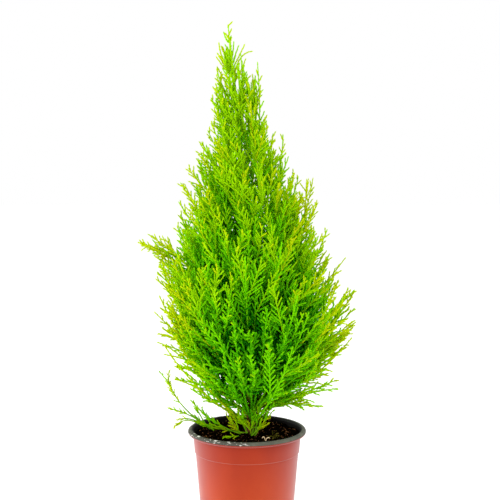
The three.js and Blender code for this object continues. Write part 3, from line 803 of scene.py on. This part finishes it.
def curvePoint(curves, pick, share):
    # a point of a quadratic curve: (1-s)^2 start + 2 s (1-s) bend + s^2 end
    share = share[..., None]
    return ((1 - share) ** 2 * curves["start"][pick] + 2 * share * (1 - share) * curves["bend"][pick]
            + share ** 2 * curves["end"][pick])


def curveTangent(curves, pick, share):
    # the curve's direction: (1-s)(bend - start) + s (end - bend), of length 1
    share = share[..., None]
    first = (curves["bend"] - curves["start"])[pick]
    return unit((1 - share) * first + share * (curves["end"] - curves["bend"])[pick])


def curveLength(curves):
    # the summed straight steps between 17 points of each curve
    share = np.linspace(0, 1, 17)[:, None]
    points = curvePoint(curves, np.arange(len(curves["start"]))[None, :], share)
    return np.linalg.norm(np.diff(points, axis=0), axis=-1).sum(0)


def acrossTrunk(points):
    # the level direction square to the line from the trunk
    out = points - trunkPoint(np.clip((points[:, 2] - trunk["foot"]) / crown["height"], 0, 1))
    return unit(np.stack([-out[:, 1], out[:, 0] + 1e-3, 0 * out[:, 0]], -1))


# how far in radians the two ranks of a spray turn from the trunk's side, and how uneven they are; where in
# its step a branch sets off; how far apart the keys of parents and of their branches lie
ranks = {"turn": 1.6, "jitter": 0.7, "setOff": 0.3, "setOffJitter": 0.4, "parentKey": 7919, "branchKey": 31}


def branchOff(parents, rule, fullness=1):
    # side branches of every parent curve: even steps along it; a share of them in two ranks, in a plane of
    # its own near the trunk's side, the others turned on by the golden angle; each a quadratic curve that
    # sets off at the spread and bends towards the light
    seed = rule["seed"]
    whole = curveLength(parents)
    span = (rule["last"] - rule["first"]) * whole
    midHeight = (parents["start"] + parents["end"])[:, 2] / 2
    low = lowShare(midHeight)
    pitch = rule["pitch"] * (1 + rule["lowPitch"] * low + rule["highPitch"] * highShare(midHeight))
    pitch = pitch * parents["leafy"]
    count = np.round(fullness * np.maximum(rule["fewest"], span / pitch)).astype(int)
    pick = np.repeat(np.arange(len(whole)), count)
    order = np.arange(len(pick)) - np.repeat(np.cumsum(count) - count, count)
    key = seed + ranks["parentKey"] * pick + ranks["branchKey"] * order
    step = order + ranks["setOff"] + ranks["setOffJitter"] * scatter(key, 31)
    share = mix(rule["first"], rule["last"], step / count[pick])
    start = curvePoint(parents, pick, share)
    tangent = curveTangent(parents, pick, share)
    first, second = squareTo(tangent, parents["side"][pick])
    turn = np.radians(boughRule["goldenAngle"] * order) + 2 * np.pi * scatter(pick + seed, 3)
    ranked = np.where(order % 2 == 0, 0, np.pi) + ranks["turn"] * (scatter(pick + seed, 38) - 0.5)
    ranked = ranked + ranks["jitter"] * (scatter(key, 36) - 0.5)
    turn = np.where(scatter(key, 35) < rule["flat"], ranked, turn)
    away = first * np.cos(turn)[:, None] + second * np.sin(turn)[:, None]
    spread = np.radians(rule["spread"] + rule["spreadJitter"] * (scatter(key, 32) - 0.5))[:, None]
    heading = tangent * np.cos(spread) + away * np.sin(spread)
    swell = mix(rule["footShare"], 1, smoothStep(share, 0, rule["swellAt"]))
    length = rule["length"] * (1 + rule["lowLength"] * low[pick]) * swell
    length = length * (1 - rule["tipLoss"] * share ** rule["tipPower"])
    length = np.minimum(length, rule["lengthShare"] * whole[pick] * (1 - rule["tipLoss"] * share))
    length = length * (1 + rule["lengthJitter"] * (scatter(key, 33) - 0.5)) * parents["leafy"][pick]
    rise = (rule["rise"] - rule["lowDroop"] * low[pick])[:, None] * up
    stray = np.stack([scatter(key, 41), scatter(key, 42), scatter(key, 43)], -1) - 0.5
    ending = unit(heading + rise + rule["stray"] * stray)
    middle = start + heading * (length / 2)[:, None]
    kept = {name: parents[name][pick] for name in ("reach", "beyond", "top", "leafy")}
    return curveSet(
        start, middle, start + ending * length[:, None], acrossTrunk(start), share=share, key=key,
        spray=np.where(rule["ownSpray"], key, parents["spray"][pick]), **kept)


def picked(curves, keep):
    # some of the curves, with what they carry
    return {name: values[keep] for name, values in curves.items()}


room = {"overGround": 1.5, "highest": 0.995, "topRadius": 3, "topSlope": 240, "looseOver": (0.08, 0.25),
        "slack": 1.02, "offTrunk": 0.8}


def hasRoom(points, curves):
    # inside the reach of its own bough and of the crown, above the soil and rim, and clear of the trunk
    height, out = fromOutlineAxis(points)
    overSoil = np.hypot(points[:, 0], points[:, 1]) < pot["lipRadius"] - 2 * pot["lipHalfWidth"]
    ground = np.where(overSoil, soil["level"], pot["height"]) + room["overGround"]
    fits = (points[:, 2] > ground) & (points[:, 2] < curves["top"])
    fits &= out < curves["reach"] + crown["pastTip"]
    fits &= (height < room["highest"]) & (out < room["topRadius"] + room["topSlope"] * (1 - height))
    loose = smoothStep(height, *room["looseOver"]) + (curves["beyond"] > crown["beyond"])
    fits &= out < room["slack"] * crownRadius(height) + curves["beyond"] * np.minimum(loose, 1)
    return fits & (out > trunkRadius(np.clip(height, 0, trunk["end"])) + room["offTrunk"])


def onlyWithRoom(curves):
    # those with room past their middle and at their tip; all but strays are thinned out at the crown's top
    # and waist
    keep = np.ones(len(curves["start"]), bool)
    for share in (0.6, 1.0):
        keep &= hasRoom(curvePoint(curves, np.arange(len(keep)), np.full(len(keep), share)), curves)
    height = (curves["start"][:, 2] - trunk["foot"]) / crown["height"]
    loss = crown["thinLoss"] * smoothStep(height, *crown["thinOver"])
    loss = loss + crown["waistLoss"] * (1 - smoothStep(height, crown["waist"] / 2, crown["waist"]))
    isStray = curves["beyond"] > crown["beyond"]
    return picked(curves, keep & (isStray | (scatter(curves["key"], 44) > loss)))


# branches along their parent from first to last, every pitch mm; angles in degrees, lengths in mm
branchletRule = {
    "seed": 1000, "first": 0.22, "last": 0.94, "pitch": 14, "fewest": 3, "flat": 0.3, "spread": 23,
    "spreadJitter": 14, "length": 92, "lengthShare": 0.72, "footShare": 0.85, "swellAt": 0.25,
    "tipLoss": 0.58, "tipPower": 1.2, "lengthJitter": 0.4, "rise": 0.2, "stray": 0.08, "lowPitch": 0.3,
    "highPitch": 0, "lowLength": 0.1, "lowDroop": 0.15, "ownSpray": True,
}
shootRule = {
    "seed": 9000, "first": 0.05, "last": 0.985, "pitch": 3.8, "fewest": 4, "flat": 0.6, "spread": 32,
    "spreadJitter": 6, "length": 21, "lengthShare": 0.55, "footShare": 0.75, "swellAt": 0.2, "tipLoss": 0.7,
    "tipPower": 1.1, "lengthJitter": 0.2, "rise": 0.04, "stray": 0.06, "lowPitch": 0.25, "highPitch": 0.4,
    "lowLength": -0.3, "lowDroop": 0, "ownSpray": False,
}
barkShootRule = {**shootRule, "seed": 5000, "first": 0.35, "flat": 0.2}
sprigRule = {
    **shootRule, "seed": 13000, "first": 0.25, "last": 0.7, "pitch": 13, "fewest": 1, "flat": 0.3,
    "spread": 27, "spreadJitter": 12, "length": 6, "lengthShare": 0.5, "footShare": 0.9, "tipLoss": 0.5,
    "tipPower": 1, "lengthJitter": 0.6, "rise": 0.05, "stray": 0.2, "lowPitch": 0.5, "highPitch": 0,
    "lowLength": 0, "longEnough": 15,
}

boughs = growBoughs()
innerBoughs = growInner()
boughLength = curveLength(boughs)
limbs = stacked(boughs, innerBoughs)
branchlets = onlyWithRoom(branchOff(limbs, branchletRule, limbs["fullness"]))
boughShoots = onlyWithRoom(branchOff(limbs, barkShootRule))
branchletShoots = onlyWithRoom(branchOff(branchlets, shootRule))
shoots = stacked(boughShoots, branchletShoots)
longShoots = picked(shoots, curveLength(shoots) > sprigRule["longEnough"])
sprigs = onlyWithRoom(branchOff(longShoots, sprigRule))
print("grown:", len(limbs["start"]), "boughs,", len(branchlets["start"]), "branchlets,",
      len(shoots["start"]), "shoots,", len(sprigs["start"]), "sprigs")


# Bark: trunk and boughs with shallow ridges along the grain

bark = {"trunkSteps": 170, "trunkAround": 40, "boughSteps": 44, "boughAround": 12, "ridge": 0.07, "ridges": 6,
        "wander": 2.4, "wanderFirst": 0.05, "wanderMore": 0.03, "cracks": 0.35, "crackPitch": 1.7,
        "crackBend": 3, "trunkGrowth": 0.45, "trunkSeed": 7, "boughSeed": 100, "pointed": 0.01}


def barkRelief(along, around, seed):
    # ridges: sines round the limb whose phase wanders along it, plus short cracks across it
    relief = 0
    for wave in range(bark["ridges"]):
        count = 3 + 2 * wave
        pace = bark["wanderFirst"] + bark["wanderMore"] * wave
        wander = bark["wander"] * np.sin(along * pace + fullTurn * scatter(seed + wave, 51))
        ridge = np.sin(count * around + wander + fullTurn * scatter(seed + wave, 52))
        relief = relief + ridge / (1 + 0.5 * wave)
    cracks = np.sin(bark["crackPitch"] * along + bark["crackBend"] * np.sin(2 * around + seed))
    return bark["ridge"] * (0.5 * relief + bark["cracks"] * cracks)


def limbPoints(centre, tangent, side, radius, along, seed, around):
    # a ring round every point of the axis: centre + r (1 + relief)(first cos a + second sin a)
    angle = np.linspace(0, 2 * np.pi, around, endpoint=False)
    first, second = squareTo(tangent, side)
    size = radius[:, None] * (1 + barkRelief(along[:, None], angle[None, :], seed))
    return centre[:, None] + size[..., None] * (
        first[:, None] * np.cos(angle)[None, :, None] + second[:, None] * np.sin(angle)[None, :, None])


def addGrowth(piece, share):
    # how far along its limb each point lies, for the bark's colour
    layer = piece.data.attributes.new("growth", "FLOAT", "POINT")
    layer.data.foreach_set("value", share)


def withEnds(rows):
    # the first and last row once more, for the closed ends of a limb
    return np.concatenate([rows[:1], rows, rows[-1:]])


def trunkPiece():
    # rings round the trunk's axis, with a closed foot and end
    height = np.linspace(0, trunk["end"], bark["trunkSteps"])
    centre = trunkPoint(height)
    tangent = unit(np.gradient(centre, axis=0))
    radius = np.concatenate([[0], trunkRadius(height), [0]])
    along = withEnds(height) * crown["height"]
    points = limbPoints(withEnds(centre), withEnds(tangent), np.array([0, 1.0, 0]), radius, along,
                        bark["trunkSeed"], bark["trunkAround"])
    piece = meshPiece("trunkBark", points, gridFaces(len(points), bark["trunkAround"]))
    addGrowth(piece, np.repeat(bark["trunkGrowth"] * along / crown["height"], bark["trunkAround"]))
    mergeDoubles(piece)
    return piece


def boughsPiece():
    # all limbs but the leading shoot in one mesh, each with a closed foot and tip
    allPoints = []
    allFaces = []
    allGrowth = []
    total = 0
    share = np.linspace(0, 1, bark["boughSteps"])
    for index in range(len(boughLength) - 1):
        pick = np.full(len(share), index)
        radius = mix(boughs["thick"][index], limb["tipRadius"], share)
        radius[[0, -1]] = bark["pointed"]
        centre = curvePoint(boughs, pick, share)
        tangent = curveTangent(boughs, pick, share)
        along = share * boughLength[index]
        points = limbPoints(centre, tangent, boughs["side"][index], radius, along,
                            bark["boughSeed"] + index, bark["boughAround"])
        allPoints.append(points.reshape(-1, 3))
        allGrowth.append(np.repeat(mix(boughs["youth"][index], 1, share), bark["boughAround"]))
        allFaces.append(gridFaces(len(share), bark["boughAround"]) + total)
        total += points.shape[0] * points.shape[1]
    piece = meshPiece("boughBark", np.vstack(allPoints), np.vstack(allFaces))
    addGrowth(piece, np.concatenate(allGrowth))
    mergeDoubles(piece, 3e-5)
    return piece


trunkBark = trunkPiece()
boughBark = boughsPiece()
# brown at a limb's foot, turning green along it, and darker where the trunk leaves the soil
barkFinish, tree, shader = newMaterial("youngBark", linear(118, 74, 44), 0.9, 0.1)
grain = objectNoise(tree, 260, 4, (1, 1, 0.25))
brown = colorRamp(tree, grain, (0.3, (40, 22, 12)), (0.5, (74, 42, 22)), (0.72, (112, 70, 38)))
green = colorRamp(tree, grain, (0.3, (84, 150, 4)), (0.7, (124, 178, 14)))
darkFoot = colorRamp(tree, grain, (0.3, (40, 24, 10)), (0.72, (116, 72, 34)))
growth = addNode(tree, "Attribute", {}, attribute_name="growth")["Fac"]
turning = shareBetween(tree, growth, 0.12, 0.35)
atFoot = shareBetween(tree, growth, 0.1, 0.03)
overFoot = blended(tree, turning, brown, green)
paint(tree, shader, blended(tree, atFoot, overFoot, darkFoot))
bumpFrom(tree, shader, grain, 0.5, 0.0008)
for piece in (trunkBark, boughBark):
    piece.data.materials.append(barkFinish)
    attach(piece, "root")
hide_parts("trunk")
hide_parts(*[name for name in nodeNames if name.startswith("bough_")])
print("bark ready")


# Foliage: every shoot is a slim cord whose faces are drawn out into needles

needle = {"sides": 3, "coreRadius": 0.76, "tipRadius": 0.56, "lowGirth": 0.25, "topGirth": 0.25,
          "byLeafy": 0.6, "lengthByPitch": 0.55, "unevenly": (0.75, 1.25), "tipLoss": 0.35, "spread": 26,
          "twist": 47, "point": 1.4, "fewestRings": 2, "mostRings": 50}


def shootMeshes(curves, rings, pitch):
    # n cords of the same number of rings: corner = axis + r (first cos a + second sin a), a turning by twist
    # from ring to ring; needle tip = middle of the face + length (tangent cos spread + outward sin spread)
    count = len(curves["start"])
    sides = needle["sides"]
    level = np.linspace(0, 1, rings + 1)
    pick = np.arange(count)[:, None]
    share = np.broadcast_to(level, (count, rings + 1))
    axis = curvePoint(curves, pick, share)
    tangent = curveTangent(curves, pick, share)
    first, second = squareTo(tangent, curves["side"][:, None])
    turn = (np.arange(sides) * 2 * np.pi / sides)[None, :]
    turn = turn + np.radians(needle["twist"]) * np.arange(rings + 1)[:, None]
    turn = turn[None] + fullTurn * scatter(curves["key"], 61)[:, None, None]
    foot = curves["start"][:, 2]
    fine = curves["leafy"] ** needle["byLeafy"]
    girth = (1 + needle["lowGirth"] * lowShare(foot) + needle["topGirth"] * highShare(foot)) * fine
    radius = mix(needle["coreRadius"], needle["tipRadius"], level)[None, :, None, None]
    radius = radius * girth[:, None, None, None]
    ring = first[:, :, None] * np.cos(turn)[..., None] + second[:, :, None] * np.sin(turn)[..., None]
    corner = axis[:, :, None] + radius * ring
    after = np.roll(corner, -1, axis=2)
    root = (corner[:, :-1] + corner[:, 1:] + after[:, :-1] + after[:, 1:]) / 4
    middle = (axis[:, :-1] + axis[:, 1:]) / 2
    outward = unit(root - middle[:, :, None])
    along = unit(tangent[:, :-1] + tangent[:, 1:])[:, :, None]
    spread = math.radians(needle["spread"])
    cell = np.arange(rings)[None, :, None] * sides + np.arange(sides)[None, None, :]
    uneven = scatter(curves["key"][:, None, None] + 13 * cell, 62)
    size = needle["lengthByPitch"] * pitch * mix(*needle["unevenly"], uneven)
    size = size * (1 - needle["tipLoss"] * level[:-1])[None, :, None]
    size = size * (fine * np.sqrt(girth))[:, None, None]
    tip = root + size[..., None] * (along * math.cos(spread) + outward * math.sin(spread))
    point = axis[:, -1] + needle["point"] * tangent[:, -1]
    points = np.concatenate([corner.reshape(count, -1, 3), tip.reshape(count, -1, 3), point[:, None]], 1)
    allFaces = shootFaces(rings)[None] + (points.shape[1] * np.arange(count))[:, None, None]
    return points.reshape(-1, 3), allFaces.reshape(-1, 3)


def shootFaces(rings):
    # four faces from each cell of the cord to its needle's tip, a pointed end and a closed foot
    sides = needle["sides"]
    row, column = np.meshgrid(np.arange(rings), np.arange(sides), indexing="ij")
    a = row * sides + column
    b = row * sides + (column + 1) % sides
    c = b + sides
    d = a + sides
    tip = a + (rings + 1) * sides
    around = [np.stack(corners, -1) for corners in ((a, b, tip), (b, c, tip), (c, d, tip), (d, a, tip))]
    last = rings * sides + np.arange(sides)
    point = np.full(sides, (2 * rings + 1) * sides)
    cap = np.stack([last, np.roll(last, -1), point], -1)
    return np.concatenate([np.stack(around, 2).reshape(-1, 3), cap, [[2, 1, 0]]])


def joined(groups):
    # several batches of points and faces as one
    offset = np.cumsum([0] + [len(points) for points, faces in groups])
    return (np.vstack([points for points, faces in groups]),
            np.vstack([faces + start for (points, faces), start in zip(groups, offset)]))


def foliageMesh(curves, pitch):
    # shoots in batches of the same number of rings, one ring for each pitch of their length
    fine = curves["leafy"] ** needle["byLeafy"]
    rings = np.round(curveLength(curves) / (pitch * fine))
    rings = np.clip(rings, needle["fewestRings"], needle["mostRings"]).astype(int)
    return joined([shootMeshes(picked(curves, rings == count), count, pitch) for count in np.unique(rings)])


def depthOf(curves):
    # how far inside the crown's outline a shoot lies at four fifths of its length, in mm
    points = curvePoint(curves, np.arange(len(curves["start"])), np.full(len(curves["start"]), 0.8))
    height, out = fromOutlineAxis(points)
    return np.maximum(crownRadius(height) - out, 0)


# from the outer tips inwards: colour, pitch of the needles in mm, and how far light shines through them
# the darker tints of shoots deep in the crown are partly the greener old foliage and partly painted shade
tints = [
    ("foliageLime", linear(167, 190, 2), 3.4, 0.35), ("foliageBright", linear(138, 196, 0), 3.4, 0.3),
    ("foliageFresh", linear(109, 198, 0), 3.6, 0.2), ("foliageGreen", linear(76, 170, 0), 4.0, 0.15),
    ("foliageDeep", linear(24, 119, 0), 5.0, 0.15),
]
leafFinish = {"roughness": 0.6, "specular": 0.02, "glow": {
    "Subsurface Radius": (0.7, 1, 0.05), "Subsurface Scale": 0.006}}
pieceLimit = {"triangles": 180000, "perRing": 14}
# steps of one tint, and pairs of places between which they fade; heights and distances in mm
# front, lowSide, highSide, onStrays and nearSoil paint the lower crown's shade into the tints; highSide,
# below 0, paints light on the sides higher up
shade = {
    "depth": 30, "lowDepth": 12, "leastSlim": 0.4, "slimRadius": 80, "foot": 0.6, "footShare": 0.7,
    "bySpray": 0.7, "byShoot": 0.2, "rounding": 0.6, "lowOver": (180, 430), "leastRadius": 10,
    "sideOver": (0.35, 0.85), "front": 1.6, "lowSide": 1.3, "highSide": -0.4, "sideRise": (150, 240),
    "onStrays": 0.6, "nearSoil": 0.45, "soilOver": (140, 230), "top": 0.3, "topOver": (330, 480),
    "onLip": 1.1, "lipOver": (45, 75), "atTrunk": -1.8, "trunkOver": (25, 45),
}


def toneOf(curves):
    # counts the tints from the tips inwards: depth inside the crown over the depth of one tint, which is
    # partly the greener old foliage and partly painted shade, nearness to the branch's foot, the lower
    # crown's painted shade, and a scatter by spray and by shoot; a little greener at the top. The painted
    # shade is most at front and back, turns to painted light at the sides higher up, and is less on strays
    # and near the soil. Listed limbs are deeper just inside the lip and paler at the trunk's foot
    height = curves["end"][:, 2]
    share = (height - trunk["foot"]) / crown["height"]
    radius = crownRadius(share)
    lowDown = 1 - smoothStep(height, *shade["lowOver"])
    offSide = np.abs(curves["end"] - outlineMiddle(share))[:, 0] / np.maximum(radius, shade["leastRadius"])
    # painted shade of the lower crown, most at front and back and less on strays and near the soil; on the
    # sides it turns to painted light higher up
    sideShading = mix(shade["lowSide"], shade["highSide"], smoothStep(height, *shade["sideRise"]))
    low = mix(1.0, shade["onStrays"], curves["beyond"] > crown["beyond"])
    low = low * mix(shade["front"], sideShading, smoothStep(offSide, *shade["sideOver"]))
    low = low * mix(shade["nearSoil"], 1, smoothStep(height, *shade["soilOver"]))
    slim = np.minimum(1, shade["leastSlim"] + radius / shade["slimRadius"])
    tone = depthOf(curves) / mix(shade["depth"] * slim, shade["lowDepth"], lowDown)
    tone = tone + shade["foot"] * (shade["footShare"] - curves["share"]) + low * lowDown
    tone = tone + shade["bySpray"] * (scatter(curves["spray"], 71) - 0.5)
    tone = tone + shade["byShoot"] * (scatter(curves["key"], 72) - 0.5)
    tone = tone + shade["top"] * smoothStep(height, *shade["topOver"])
    fromMiddle = np.hypot(curves["end"][:, 0], curves["end"][:, 1])
    overPot = shade["onLip"] * (1 - smoothStep(fromMiddle, *shade["lipOver"]))
    overPot = overPot + shade["atTrunk"] * (1 - smoothStep(fromMiddle, *shade["trunkOver"]))
    tone = tone + overPot * (curves["leafy"] < 1) * lowDown
    return np.clip((tone + shade["rounding"]).astype(int), 0, len(tints) - 1)


leaderStem = picked(boughs, [-1])
barkBoughs = picked(boughs, slice(None, -1))
boughTips = outerPart(barkBoughs, barkBoughs["needlesFrom"])
setShoots = placedCurves(setSprigs, 0, 1)
allShoots = stacked(shoots, sprigs, branchlets, innerBoughs, leaderStem, boughTips, setShoots)
tone = toneOf(allShoots)
for number, (name, color, pitch, glow) in enumerate(tints):
    mine = picked(allShoots, tone == number)
    shining = {"Subsurface Weight": glow, **leafFinish["glow"]}
    finish = newMaterial(name, color, leafFinish["roughness"], leafFinish["specular"], shining)[0]
    likely = curveLength(mine).sum() / pitch * pieceLimit["perRing"]
    parts = int(np.ceil(likely / pieceLimit["triangles"]))
    for part, chunk in enumerate(np.array_split(np.arange(len(mine["start"])), parts)):
        points, faces = foliageMesh(picked(mine, chunk), pitch)
        piece = meshPiece(name + str(part + 1), points, faces, smooth=False)
        piece.data.materials.append(finish)
        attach(piece, "root")
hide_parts(*[name for name in nodeNames if name.startswith("foliage_")])
